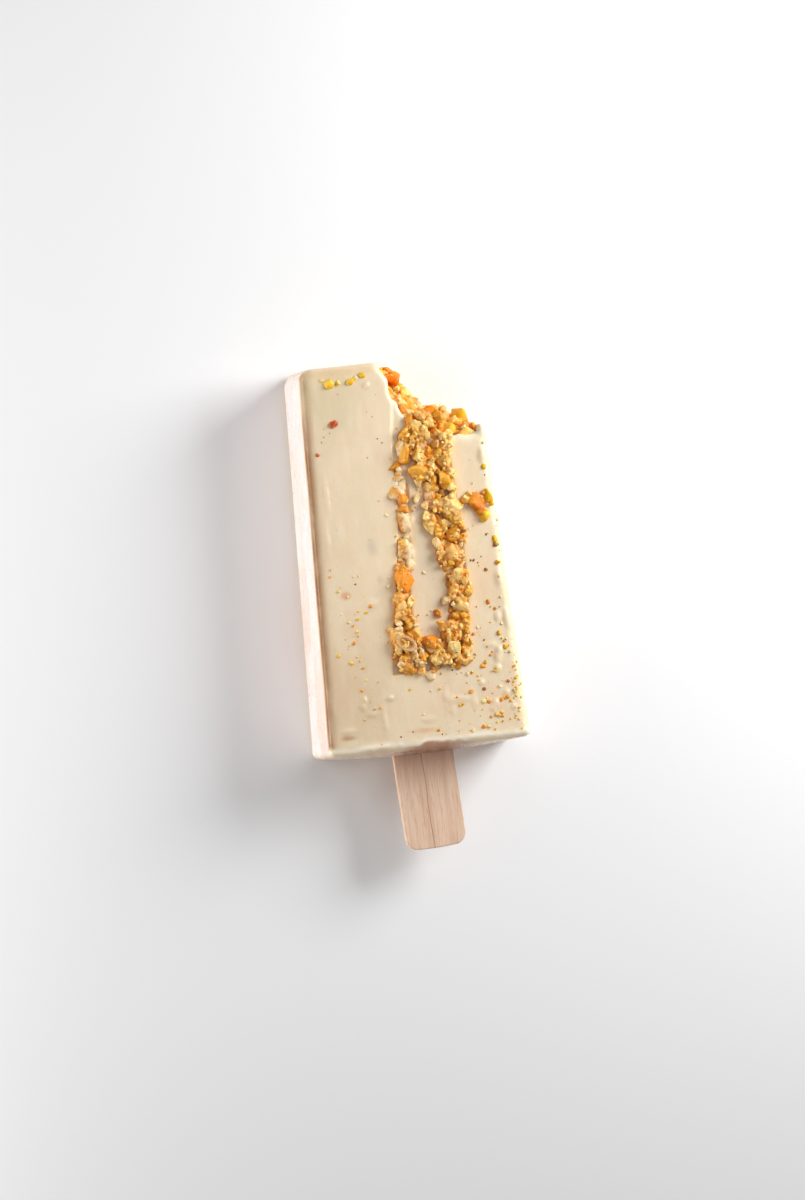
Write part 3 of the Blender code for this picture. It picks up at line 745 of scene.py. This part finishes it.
class Ground:
    """The height of what lies on the face so far, on a half-millimetre grid, for dropping crumbs on."""

    def __init__(self):
        self.xs, self.ys = np.arange(-30, 30.5, 0.5), np.arange(-4, 110, 0.5)
        gx, gy = np.meshgrid(self.xs, self.ys, indexing="ij")
        self.z = face_z(gy) - np.where(
            np.maximum(polygon_sd(gx.ravel(), gy.ravel(), OUTLINE), -polygon_sd(gx.ravel(), gy.ravel(), ISLAND)).reshape(gx.shape) < -0.3, 0.8, 0.0
        )
        over = np.abs(gx) - (half_width(gy) - 2.7)
        self.z -= np.where(over > 0, 2.7 - np.sqrt(np.maximum(2.7**2 - np.minimum(over, 2.6) ** 2, 0)), 0)

    def cell(self, x, y):
        i = np.clip(((np.asarray(x) + 30) / 0.5).round().astype(int), 0, len(self.xs) - 1)
        j = np.clip(((np.asarray(y) + 4) / 0.5).round().astype(int), 0, len(self.ys) - 1)
        return i, j

    def under(self, points):
        i, j = self.cell(points[:, 0], points[:, 1])
        return self.z[i, j]

    def pile(self, points):
        i, j = self.cell(points[:, 0], points[:, 1])
        np.maximum.at(self.z, (i, j), points[:, 2])


def drop(rng, ground, heap, kind, x, y, size, level, sink=0.35, lean=0.5, spin=None):
    """Lays a piece on what is there, sunk by a share of its height."""
    points, faces, shade, cut = chunk(rng, kind, size, level)
    points = points @ rotation(rng, rng.uniform(0, lean), spin).T
    points = points + np.array([x, y, 0])
    bottom = points[:, 2].min()
    rest = np.percentile(ground.under(points), 60)
    tall = points[:, 2].max() - bottom
    points[:, 2] += rest - bottom - sink * tall
    ground.pile(points)
    heap.add(points, faces, shade, cut)


class Mass:
    """Broken nuts pressed together: faceted pieces joined into one skin that keeps each piece's colour."""

    def __init__(self, rng, join=0.12):
        self.rng, self.join, self.pieces = rng, join, []

    def add(self, kind, centre, size, lean=0.35, spin=None):
        rng = self.rng
        skin, face, _, _, _ = LOOKS[kind]
        half = np.array(size) / 2
        count = 11
        k = np.arange(count) + 0.5
        tilt = np.arccos(1 - 2 * k / count)
        around = math.pi * (1 + 5**0.5) * k + rng.uniform(0, 6.3)
        normals = np.stack([np.cos(around) * np.sin(tilt), np.sin(around) * np.sin(tilt), np.cos(tilt)], axis=1)
        normals += 0.3 * rng.normal(size=normals.shape)
        normals /= np.linalg.norm(normals, axis=1, keepdims=True)
        reach = np.sqrt(((normals * half) ** 2).sum(axis=1)) * rng.uniform(0.74, 1.02, count)
        turn = rotation(rng, rng.uniform(0, lean), rng.uniform(-0.3, 0.3) if spin is None else spin)
        soft = {"g": 0.11, "o": 0.16, "y": 0.13, "m": 0.26, "l": 0.06, "t": 0.12, "p": 0.1, "c": 0.05, "d": 0.08, "H": 0.16}.get(kind, 0.1)
        rough = {"t": 0.3, "c": 0.14, "p": 0.18, "l": 0.15, "d": 0.18, "H": 0.12, "g": 0.13, "m": 0.1}.get(kind, 0.07)
        self.pieces.append(
            dict(
                kind=kind, centre=np.array(centre, float), normals=normals @ turn.T, reach=reach, soft=soft * min(1.6, 0.4 + 0.3 * min(size)),
                rough=rough, radius=float(half.max()) * 1.1 + 0.6, skin=skin * (1 + 0.12 * rng.uniform(-1, 1)),
                face=face * (1 + 0.06 * rng.uniform(-1, 1)), cuts=rng.uniform(-1, 1, count) + (0.35 if kind in "ltcp" else -0.35),
            )
        )

    def one(self, piece, q):
        values = (q - piece["centre"]) @ piece["normals"].T - piece["reach"]
        top = values.max(axis=1)
        k = piece["soft"]
        return top + k * np.log(np.exp((values - top[:, None]) / k).sum(axis=1)), values.argmax(axis=1)

    def sd(self, p):
        d = np.full(len(p), 3.0)
        rough = np.zeros(len(p))
        for piece in self.pieces:
            at = np.where((np.abs(p - piece["centre"]) < piece["radius"] + 0.6).all(axis=1))[0]
            if not len(at):
                continue
            value, _ = self.one(piece, p[at])
            rough[at] = np.where(value < d[at], piece["rough"], rough[at])
            d[at] = smin(d[at], value, self.join)
        near = np.abs(d) < 0.8
        q = p[near]
        d[near] -= rough[near] * (0.9 * noise(q, 0.62, 71) + 0.7 * noise(q, 1.3, 70)) + 0.03 * noise(q, 0.9, 73)
        return d

    def paint(self, p, bed_and_shade_colour, low=None):
        """Colours for the skin's points: each piece's own, darkened by painted shade in the gaps between them."""
        best, second = np.full(len(p), 9.0), np.full(len(p), 9.0)
        colour = np.tile(bed_and_shade_colour, (len(p), 1))
        cut = np.full(len(p), 0.3)
        film = np.zeros(len(p), bool)
        for piece in self.pieces:
            at = np.where((np.abs(p - piece["centre"]) < piece["radius"] + 0.6).all(axis=1))[0]
            if not len(at):
                continue
            value, plane = self.one(piece, p[at])
            wins = value < best[at]
            second[at] = np.where(wins, best[at], np.minimum(second[at], value))
            best[at] = np.where(wins, value, best[at])
            won, share = at[wins], np.clip(0.5 + 0.9 * piece["cuts"][plane[wins]], 0, 1)
            colour[won] = piece["skin"] + (piece["face"] - piece["skin"]) * share[:, None]
            cut[won] = share
            film[won] = piece["kind"] == "m"
        fine = noise(p, 0.55, 74)
        colour = colour * (1 + 0.07 * fine + 0.05 * noise(p, 1.4, 75))[:, None]
        # painted shade: darker where two pieces meet
        crevice_shade = np.exp(-np.maximum(second - best, 0) / 0.22)
        colour = colour + (bed_and_shade_colour - colour) * (0.78 * crevice_shade)[:, None]
        return colour, cut, film


FILM = lin(246, 226, 182)


def build_nuts():
    rng = np.random.default_rng(11)
    ground = Ground()
    look = nut_material()
    # the colour of painted shade low in the heap and in the gaps between pieces
    bed_and_shade_colour = lin(210, 124, 18)

    mass = Mass(rng)
    for kind, x, y, w, l in BAND_NUTS:
        level = face_z(y)
        if kind == "c":
            tall, lift = 0.8 * min(w, l) + 0.9, 0.75
        else:
            tall, lift = min(4.4, 0.62 * min(w, l) + 1.7), 0.1 + rng.uniform(-0.1, 0.3)
        if kind == "m":
            tall, lift = 0.5 * min(w, l) + 1.0, 0.0
        big = max(w, l) > 4.4 and kind in "tlg"
        grow = 0.98 if big else 1.08
        mass.add(kind, (x, y, level + lift), (w * grow, l * grow, tall - 0.5 * big), lean=0.12 if max(w, l) > 5 else 0.35)
        # the large ones are themselves broken, with smaller flakes stuck on them
        for _ in range(int(1.1 * w * l / 4) if big else 0):
            ox, oy = rng.uniform(-0.42, 0.42, 2)
            size = rng.uniform(1.3, 2.6)
            mass.add(rng.choice(list(kind * 3 + "lgt")), (x + ox * w, y + oy * l, level + lift + 0.5 * tall - 0.9 + rng.uniform(-0.2, 0.5)), size * rng.uniform(0.7, 1.2, 3), lean=1.2)
    # the coated pieces that make the upper left arm one lumpy ridge
    for y in np.arange(48.0, 84.0, 1.25):
        x = np.interp(y, (48, 56, 64, 72, 80, 84), (-1.6, -1.0, -0.4, -0.5, 0.4, 0.8)) + rng.uniform(-1.1, 1.1)
        size = rng.uniform(1.8, 3.2)
        mass.add(rng.choice(list("mmmmg")), (x, y, face_z(y) + rng.uniform(-0.75, 0.05)), size * rng.uniform(0.8, 1.25, 3), lean=1.0)
    seeded = [(q["centre"][:2], q["radius"]) for q in mass.pieces[: len(mass.pieces)]]
    first = len(mass.pieces)
    tries = 0
    while len(mass.pieces) < first + 130 and tries < 5000:
        tries += 1
        x, y = rng.uniform(-9, 16), rng.uniform(20.5, 92)
        spot = (np.array([x]), np.array([y]))
        size = rng.uniform(1.5, 3.0)
        if max(polygon_sd(*spot, OUTLINE)[0], -polygon_sd(*spot, ISLAND)[0]) > -0.36 * size:
            continue
        if (x < 2.6 and y > 50) or (y < 24.5 and (x < -5.5 or 0.5 < x < 3.6)):
            continue
        if any(np.hypot(*(c - (x, y))) < 0.3 * size + 0.12 * r for c, r in seeded):
            continue
        kind = rng.choice(list("gggltto"))
        mass.add(kind, (x, y, face_z(y) + rng.uniform(-0.5, 0.5)), size * np.array([1, 1, 0.9]) * rng.uniform(0.85, 1.25, 3), lean=1.0)
        seeded.append((np.array([x, y]), size * 0.6))
    # small sharp crumbs that lie on the rest
    for _ in range(190):
        x, y, w, l = BAND_NUTS[rng.integers(len(BAND_NUTS))][1:]
        x, y = x + rng.normal() * w * 0.45, y + rng.normal() * l * 0.45
        spot = (np.array([x]), np.array([y]))
        if max(polygon_sd(*spot, OUTLINE)[0], -polygon_sd(*spot, ISLAND)[0]) > 0.2 or (x < 2.6 and y > 50):
            continue
        size = rng.uniform(0.7, 1.6)
        mass.add(rng.choice(list("clltgg")), (x, y, face_z(y) + rng.uniform(0.9, 2.2)), size * rng.uniform(0.8, 1.3, 3), lean=1.2)

    def band_sd(p):
        # nothing lies deeper than the groove or higher than the heap
        top = p[:, 2] - face_z(p[:, 1])
        return smax(smax(mass.sd(p), -top - 1.1, 0.2), top - 3.3, 0.4)

    h = 0.27
    verts, quads = surface(band_sd, (-10.6, 15.6, 23.4), (18.4, 93.4, 29.6), h)
    shades, cut, film = mass.paint(verts, bed_and_shade_colour)
    x, y, z = verts[:, 0], verts[:, 1], verts[:, 2]
    up = z - face_z(y)
    cloud, speckle = noise(verts, 1.5, 76), noise(verts, 0.6, 77)

    def toward(colour, amount):
        nonlocal shades
        amount = np.clip(amount, 0, 1)[:, None]
        shades = shades * (1 - amount) + colour * amount

    # painted shade: the heap darkens towards its foot, near the face
    toward(bed_and_shade_colour, 0.62 * smooth((1.5 - up + 0.3 * cloud) / 1.5) * (1 - 0.8 * film))
    # the coating ran a little way up the right side of the right arm
    side = smooth((x - 13.2) / 1.6) * smooth((1.7 - up + 0.5 * cloud) / 0.9)
    toward(lin(250, 214, 150), 0.75 * side)
    # and right over the nuts of the upper left arm
    over = film * smooth((0.3 * up + 0.1 + 0.5 * cloud + 0.3 * speckle + 0.3 * np.clip(x + 0.8, -1, 1)) / 0.5)
    toward(FILM, 0.88 * over)
    make("band_nuts", verts, quads, look, "chopped_nuts", shades=np.clip(shades, 0, 1), masks={"cut": cut * (1 - over)}, replaces=("nut_band",))
    ground.pile(verts)

    half = Heap()
    points, faces, shade, cut = chunk(rng, "H", (6.4, 4.0, 2.6), 4)
    turn = rotation(rng, 0.2, -0.75)
    half.add(points @ turn.T + np.array([-4.3, 28.9, face_z(28.9) + 2.75]), faces, shade, cut)
    half.object("half_nut", look, "chopped_nuts")

    chips = Heap()
    for _ in range(230):  # crumbs strewn close to the band
        kind, x, y, w, l = BAND_NUTS[rng.integers(len(BAND_NUTS))]
        px, py = x + rng.normal() * (w * 0.5 + 0.7), y + rng.normal() * (l * 0.5 + 0.7)
        drop(rng, ground, chips, rng.choice(list("cclggt")), px, py, rng.uniform(0.25, 0.85) * rng.uniform(0.7, 1.2, 3), 2, sink=0.35, lean=1.2)
    chips.object("band_chips", look, "chopped_nuts")

    side = Mass(rng)
    for kind, x, y, w, l in SIDE_NUTS:
        side.add(kind, (x, y, face_z(y) + 0.5), (w * 1.1, l * 1.1, 0.5 * min(w, l) + 1.5))
    for _ in range(14):
        x, y = 21.0 + rng.normal() * 1.6, 64.8 + rng.normal() * 2.2
        side.add(rng.choice(list("yyogl")), (x, y, face_z(y) + rng.uniform(0, 1.0)), rng.uniform(0.9, 2.0) * rng.uniform(0.8, 1.2, 3), lean=1.0)
    verts, quads = surface(side.sd, (14.5, 56.5, 24.2), (25.9, 73.5, 28.6), h)
    shades, cut, _ = side.paint(verts, lin(206, 112, 8))
    make("clump_nuts", verts, quads, look, "chopped_nuts", shades=np.clip(shades, 0, 1), masks={"cut": cut * 0.6}, replaces=("nut_clump",))

    loose = Heap()
    for kind, x, y, w, l in LOOSE_NUTS:
        drop(rng, ground, loose, kind, x, y, (w, l, 0.7 * min(w, l)), 3, sink=0.45, lean=0.3, spin=rng.uniform(-0.3, 0.3))
    for kind, x, y, s in SPECKS:
        drop(rng, ground, loose, kind, x, y, np.array([1.0, 0.85, 0.7]) * s, 3, sink=0.5, lean=0.6)
    for _ in range(95):  # the finest dust of nut, thicker low on the right
        px, py = rng.uniform(-25, 27), rng.uniform(1.5, 62) * rng.uniform(0.3, 1)
        if rng.uniform() > 0.35 + 0.65 * (px > 8):
            continue
        drop(rng, ground, loose, rng.choice(list("cgyylo")), px, py, rng.uniform(0.2, 0.6) * rng.uniform(0.7, 1.2, 3), 2, sink=0.45, lean=1.0)
    for cx, cy, sx, sy, count, big in (
        (21.0, 14.0, 4.0, 8.5, 44, 1.5), (-18.5, 36.0, 3.6, 9.0, 22, 1.1), (-10.0, 14.0, 7.0, 5.0, 14, 1.0), (25.2, 44.0, 0.9, 22.0, 26, 1.2),
        (10.0, 14.0, 5.0, 4.0, 12, 1.1), (24.8, 16.0, 1.2, 9.0, 22, 1.4),
    ):
        for _ in range(count):
            px, py = cx + sx * rng.normal(), cy + sy * rng.normal()
            if not (abs(px) < half_width(py) - 0.6 and 1.0 < py < 88):
                continue
            drop(rng, ground, loose, rng.choice(list("ggyooclll")), px, py, rng.uniform(0.3, big) * rng.uniform(0.6, 1.2, 3), 2, sink=0.5, lean=1.0)
    loose.object("loose_nuts", look, "chopped_nuts")

    dots = Heap()
    for x, y, s in DOTS:
        drop(rng, ground, dots, "k", x, y, np.array([1.0, 0.9, 0.6]) * s, 2, sink=0.5, lean=0.4)
    for _ in range(26):
        drop(rng, ground, dots, "k", rng.uniform(-24, 24), rng.uniform(3, 100), np.array([1.0, 0.9, 0.6]) * rng.uniform(0.14, 0.26), 2, sink=0.5, lean=0.4)
    dots.object("dark_dots", plain_speck_material(), "chopped_nuts")


def build_bite():
    rng = np.random.default_rng(23)
    look = nut_material("nut_crumble_look")
    # the colour of painted shade in the gaps between pieces, and of the bed behind them
    bed_and_shade_colour = lin(214, 122, 8)

    mass = Mass(rng, join=0.14)

    def seat(angle, z, depth):
        cx, cy, r = bite_axis(z)
        return np.array([cx + (r + depth) * math.cos(angle), cy + (r + depth) * math.sin(angle), z])

    placed = []
    for kind, x, y, z, w, l in BITE_NUTS:
        cx, cy, r = bite_axis(z)
        angle = math.atan2(y - cy, x - cx)
        at = seat(angle, z, max(-0.4, math.hypot(x - cx, y - cy) - r + 0.5))
        mass.add(kind, at, (w * 1.1, 0.6 * l + 1.2, l * 1.05), lean=0.4)
        placed.append((at, 0.8 * max(w, l)))
    tries = 0
    while len(placed) < 210 and tries < 9000:
        tries += 1
        angle, z = rng.uniform(math.pi * 0.86, math.pi * 1.8), rng.uniform(1.8, 24.4)
        size = rng.choice([1.8, 2.6, 3.4, 4.4, 5.4], p=[0.2, 0.28, 0.26, 0.17, 0.09])
        at = seat(angle, z, rng.uniform(0.0, 0.7))
        if bar_sd(at[None])[0] > -1.7 - 0.1 * size:
            continue
        if any(np.linalg.norm(at - c) < 0.4 * (size + s) for c, s in placed):
            continue
        mass.add(rng.choice(list("gggyyllttoogo")), at, size * rng.uniform(0.75, 1.25, 3), lean=1.5)
        placed.append((at, size))
    for _ in range(220):
        angle, z = rng.uniform(math.pi * 0.86, math.pi * 1.8), rng.uniform(1.8, 24.4)
        at = seat(angle, z, rng.uniform(-0.8, 0.0))
        if bar_sd(at[None])[0] > -1.8:
            continue
        mass.add(rng.choice(list("gcclto")), at, rng.uniform(0.7, 1.4) * rng.uniform(0.8, 1.2, 3), lean=1.5)

    def crumble_sd(p):
        """The pieces, a rough bed behind them, and the coating that holds both in."""
        bite = bite_sd(p)
        bed = 0.5 - bite - 0.5 * noise(p, 2.4, 40) - 0.25 * noise(p, 1.1, 41)
        x, y = p[:, 0], p[:, 1]
        thin = 1.2 * smooth((y - 96.5) / 2) * smooth((103.4 - y) / 1.2) * smooth((6 - x) / 3) + 0.4 * smooth((y - 103.4) / 1.2)
        joined = smin(mass.sd(p) + thin, bed + 0.5 * thin, 0.2)
        return np.maximum(np.maximum(joined, bar_sd(p) + 1.55), bite - 6.2)

    h = 0.33
    verts, quads = surface(crumble_sd, (-9.6, 76.0, 0.6), (27.0, 107.2, 25.4), h)
    shades, cut, _ = mass.paint(verts, bed_and_shade_colour)
    make("bite_nuts", verts, quads, look, "nut_filling", shades=np.clip(shades, 0, 1), masks={"cut": cut}, replaces=("filling",))


# ---------------------------------------------------------------- the stick
STICK_SHOWS = 26.2


def build_stick():
    half, long, corner, bow, thick = 8.5, 46.5 - 0.5, 3.0, 0.5, 2.0

    def outline(taken):
        h, l, c = half - taken, long - taken, corner - taken
        points = []
        for sx, sy, start in ((1, 1, 0), (-1, 1, 90), (-1, -1, 180), (1, -1, 270)):
            for i in range(17):
                a = math.radians(start + 90 * i / 16)
                points.append([sx * (h - c) + c * math.cos(a), sy * (l - c) + c * math.sin(a)])
            if sx * sy > 0:
                for i in range(1, 12):
                    points.append([sx * (h - c) * (1 - i / 6), sy * l])
            else:
                for i in range(1, 60):
                    points.append([sx * h, sy * (l - c) * (1 - i / 30)])
        for p in points:
            share = min(1.0, abs(p[0]) / h)
            if abs(p[1]) > l - c:
                p[1] += math.copysign(bow * (1 - share**2), p[1])
        return np.array(points)

    rings = []
    ease = 0.32
    steps = [math.radians(a) for a in (0, 22.5, 45, 67.5, 90)]
    profile = [(-thick / 2 + ease * (1 - math.sin(a)), ease * (1 - math.cos(a))) for a in reversed(steps)]
    profile = [(z, t) for z, t in profile] + [(-z, t) for z, t in reversed(profile)]
    for z, taken in profile:
        o = outline(taken)
        rings.append(np.column_stack([o, np.full(len(o), z)]))
    count = len(rings[0])
    # top and bottom as rings drawn in towards the middle line, so the faces carry the wood's faint waves
    caps = []
    for share in (0.94, 0.86, 0.74, 0.6, 0.45, 0.3, 0.15, 0.0):
        ring = rings[-1].copy()
        ring[:, 0] *= share
        caps.append(ring)
    rows = [np.column_stack([c[:, :2], -c[:, 2]]) for c in reversed(caps)] + rings + caps
    points = np.concatenate(rows)
    wave = 0.035 * noise(points * np.array([1.0, 0.08, 0.0]), 0.9, 90) + 0.02 * noise(points * np.array([1.0, 0.05, 0.0]), 0.35, 91)
    points[:, 2] += np.sign(points[:, 2]) * wave * (np.abs(points[:, 2]) > 0.95)
    faces = []
    for r in range(len(rows) - 1):
        for i in range(count):
            j = (i + 1) % count
            faces.append([r * count + i, r * count + j, (r + 1) * count + j, (r + 1) * count + i])
    across, along = points[:, 0].copy(), points[:, 1].copy()
    c, s = math.cos(STICK_LEAN), math.sin(STICK_LEAN)
    y = along + (46.5 - STICK_SHOWS)
    turned = np.column_stack([c * across - s * y, s * across + c * y - 1.8, points[:, 2] + THICK_A / 2])
    damp = smooth((turned[:, 1] + 11.0) / 9.0)
    obj = make("wooden_stick", turned, faces, wood_material(), "birch_wood", masks={"damp": damp}, replaces=("stick",))
    bm = bmesh.new()
    bm.from_mesh(obj.data)
    bmesh.ops.remove_doubles(bm, verts=bm.verts, dist=0.00001)
    bmesh.ops.recalc_face_normals(bm, faces=bm.faces)
    bm.to_mesh(obj.data)
    bm.free()
    return obj


# ---------------------------------------------------------------- light, floor, camera
def build_stage():
    n = Nodes("pale_floor_look")
    n.shader.inputs["Base Color"].default_value = (0.9, 0.9, 0.905, 1)
    n.set(rough=0.9, specular=0.1)
    mesh = bpy.data.meshes.new("floor")
    mesh.from_pydata([(-3, -3, 0), (3, -3, 0), (3, 3, 0), (-3, 3, 0)], [], [(0, 1, 2, 3)])
    floor = bpy.data.objects.new("floor", mesh)
    bpy.context.scene.collection.objects.link(floor)
    mesh.materials.append(n.material)

    world = bpy.data.worlds.new("studio")
    world.use_nodes = True
    world.node_tree.nodes["Background"].inputs["Color"].default_value = (1, 1, 1, 1)
    world.node_tree.nodes["Background"].inputs["Strength"].default_value = 0.26
    bpy.context.scene.world = world

    def area(name, place, aim, size, power):
        light = bpy.data.lights.new(name, "AREA")
        light.shape = "RECTANGLE"
        light.size, light.size_y = size
        light.energy = power
        obj = bpy.data.objects.new(name, light)
        bpy.context.scene.collection.objects.link(obj)
        obj.location = place
        obj.rotation_euler = (Vector(aim) - Vector(place)).to_track_quat("-Z", "Y").to_euler()

    area("key", (0.30, 0.15, 0.23), (0.0, 0.02, 0.02), (0.22, 0.22), 1.75)
    area("strip", (-0.30, 0.0, 0.05), (0.0, 0.01, 0.013), (0.5, 0.07), 0.95)
    area("top", (0.16, 0.12, 0.7), (0.0, 0.0, 0.0), (0.14, 0.5), 0.5)


def build_camera():
    lean, pitch, roll = math.radians(12.0), math.radians(0.8), math.radians(6.4)
    across = Vector((math.cos(lean), 0, math.sin(lean)))
    back = Vector((-math.sin(lean) * math.cos(pitch), -math.sin(pitch), math.cos(lean) * math.cos(pitch)))
    up = back.cross(across)
    right = across * math.cos(roll) - up * math.sin(roll)
    over = across * math.sin(roll) + up * math.cos(roll)
    target = (Vector((0, 0, 13)) + across * -0.76 + up * 41.0 + Vector((0, Y0, 0))) * MM
    distance = 2.5
    camera = bpy.data.cameras.new("camera")
    camera.sensor_width = 36.0
    camera.lens = 36.0 * distance / (1200 * 0.276 * MM)
    camera.clip_start, camera.clip_end = 0.05, 20
    obj = bpy.data.objects.new("camera", camera)
    bpy.context.scene.collection.objects.link(obj)
    turn = Matrix((right, over, back)).transposed().to_4x4()
    turn.translation = target + back * distance
    obj.matrix_world = turn
    bpy.context.scene.camera = obj


build_camera()
build_coating()
build_nuts()
build_bite()
build_stick()
build_stage()

bpy.context.scene.view_settings.view_transform = "Standard"
bpy.context.scene.view_settings.look = "None"

bpy.context.view_layer.update()
